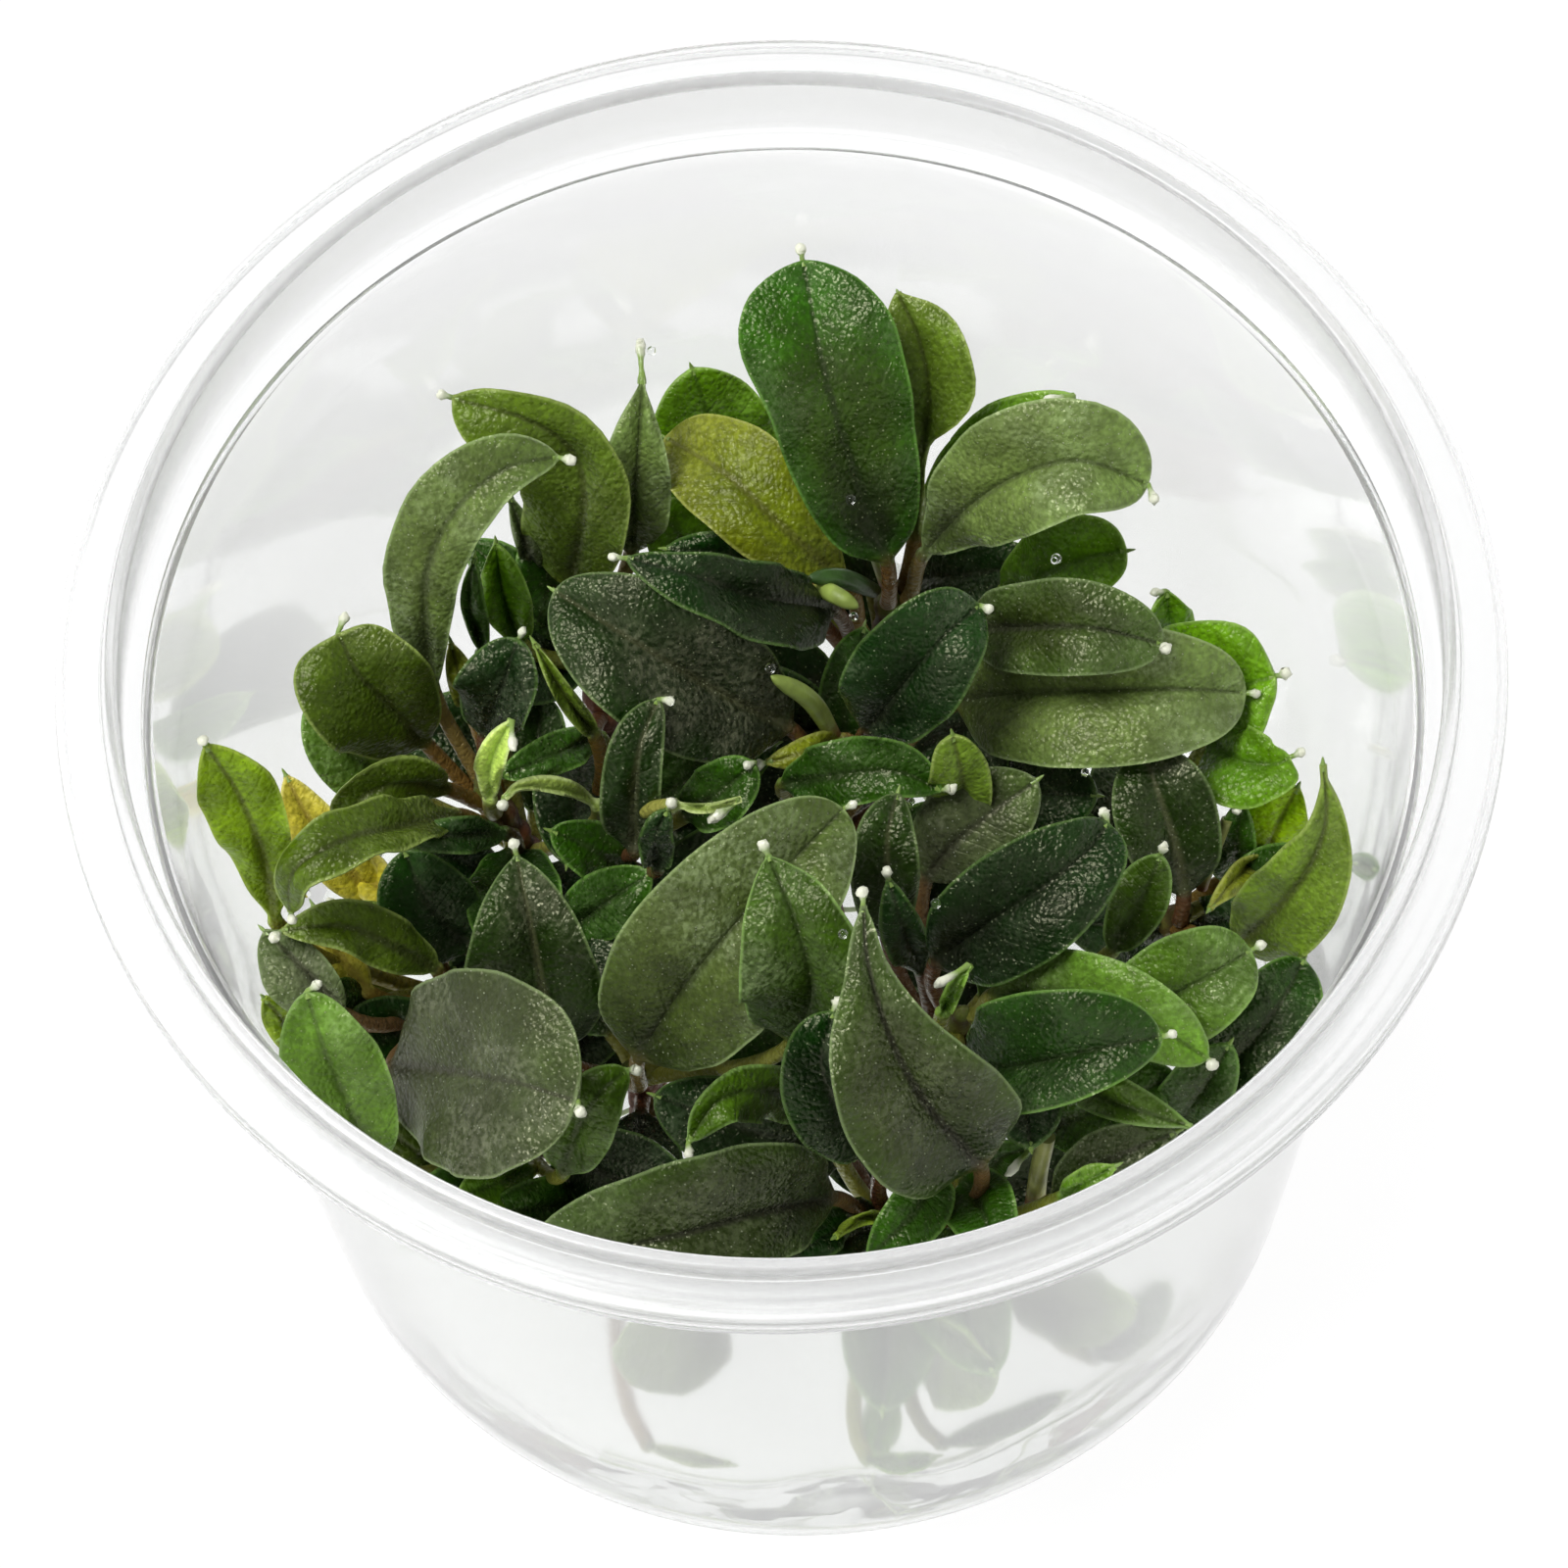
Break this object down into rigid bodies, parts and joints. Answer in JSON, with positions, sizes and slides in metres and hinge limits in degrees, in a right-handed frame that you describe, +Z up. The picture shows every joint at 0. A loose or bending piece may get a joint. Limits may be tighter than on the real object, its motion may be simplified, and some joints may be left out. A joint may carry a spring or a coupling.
{
  "type": "bucephalandra plant in a clear cup",
  "caption": "Clump of broad-leaved bucephalandra plantlets on clear gel in their clear round lidless growing cup.",
  "frame": {"origin": "centre of the cup's base, on the surface that it stands on", "axes": "+Z up along the cup's axis, -Y towards the side that the plants are seen from"},
  "size_m": [0.105, 0.105, 0.077],
  "materials": {
    "clear_plastic": "clear moulded polypropylene, slightly milky",
    "growing_gel": "clear wet nutrient gel",
    "rhizome": "red-brown stem with small dark green leaves",
    "leaf_deep": "living leaf, satin, finely pebbled with pale speckles",
    "leaf_olive": "living leaf, satin, finely pebbled with pale speckles",
    "leaf_golden": "living leaf, satin, finely pebbled with pale speckles",
    "leaf_bright": "living leaf, satin, finely pebbled with pale speckles",
    "leaf_grey": "living leaf, satin, finely pebbled with pale speckles",
    "leaf_green": "living leaf, satin, finely pebbled with pale speckles",
    "leaf_speckled": "living leaf, satin, finely pebbled with pale speckles",
    "leaf_yellow": "living leaf, satin, finely pebbled with pale speckles"
  },
  "bodies": {
    "root": {"cup": "clear_plastic", "gel": "growing_gel", "rhizome_back": "rhizome", "rhizome_centre": "rhizome", "rhizome_back_left": "rhizome", "rhizome_left": "rhizome", "rhizome_mid_left": "rhizome", "rhizome_far_left": "rhizome", "rhizome_centre_left": "rhizome", "rhizome_front_left": "rhizome", "rhizome_front": "rhizome", "rhizome_front_right": "rhizome", "rhizome_right": "rhizome", "leaf_tall_back": "leaf_deep", "leaf_folded_back": "leaf_olive", "leaf_golden_back": "leaf_golden", "leaf_bright_back": "leaf_bright", "leaf_broad_back": "leaf_grey", "leaf_bright_side": "leaf_bright", "leaf_rolled_edge": "leaf_deep", "leaf_round_side": "leaf_green", "leaf_pointed_back": "leaf_grey", "leaf_olive_arch": "leaf_olive", "leaf_tall_left": "leaf_grey", "leaf_square_left": "leaf_deep", "leaf_yellow_edge": "leaf_green", "leaf_draped_left": "leaf_grey", "leaf_folded_left": "leaf_deep", "leaf_far_left": "leaf_speckled", "leaf_dying": "leaf_yellow", "leaf_wavy_left": "leaf_deep", "leaf_broad_front_left": "leaf_grey", "leaf_front_left": "leaf_green", "leaf_low_front_left": "leaf_green", "leaf_left_centre": "leaf_grey", "leaf_great_centre": "leaf_deep", "leaf_bright_centre": "leaf_bright", "leaf_arch_front": "leaf_green", "leaf_spoon": "leaf_deep", "leaf_great_dark": "leaf_deep", "leaf_dark_centre": "leaf_deep", "leaf_right_upper": "leaf_green", "leaf_right_great": "leaf_green", "leaf_green_arch": "leaf_deep", "leaf_right_curled": "leaf_bright", "leaf_right_small": "leaf_green", "leaf_right_bright": "leaf_bright", "leaf_right_dark": "leaf_deep", "leaf_dark_right": "leaf_deep", "leaf_small_right": "leaf_green", "leaf_upright_centre": "leaf_deep", "leaf_front_right": "leaf_green", "leaf_green_right": "leaf_green", "leaf_outer_right": "leaf_green", "leaf_edge_right": "leaf_deep", "leaf_front_centre": "leaf_grey", "leaf_front_great": "leaf_deep", "leaf_dark_front": "leaf_deep", "leaf_low_front": "leaf_green", "leaf_low_right": "leaf_olive"}
  },
  "joints": []
}
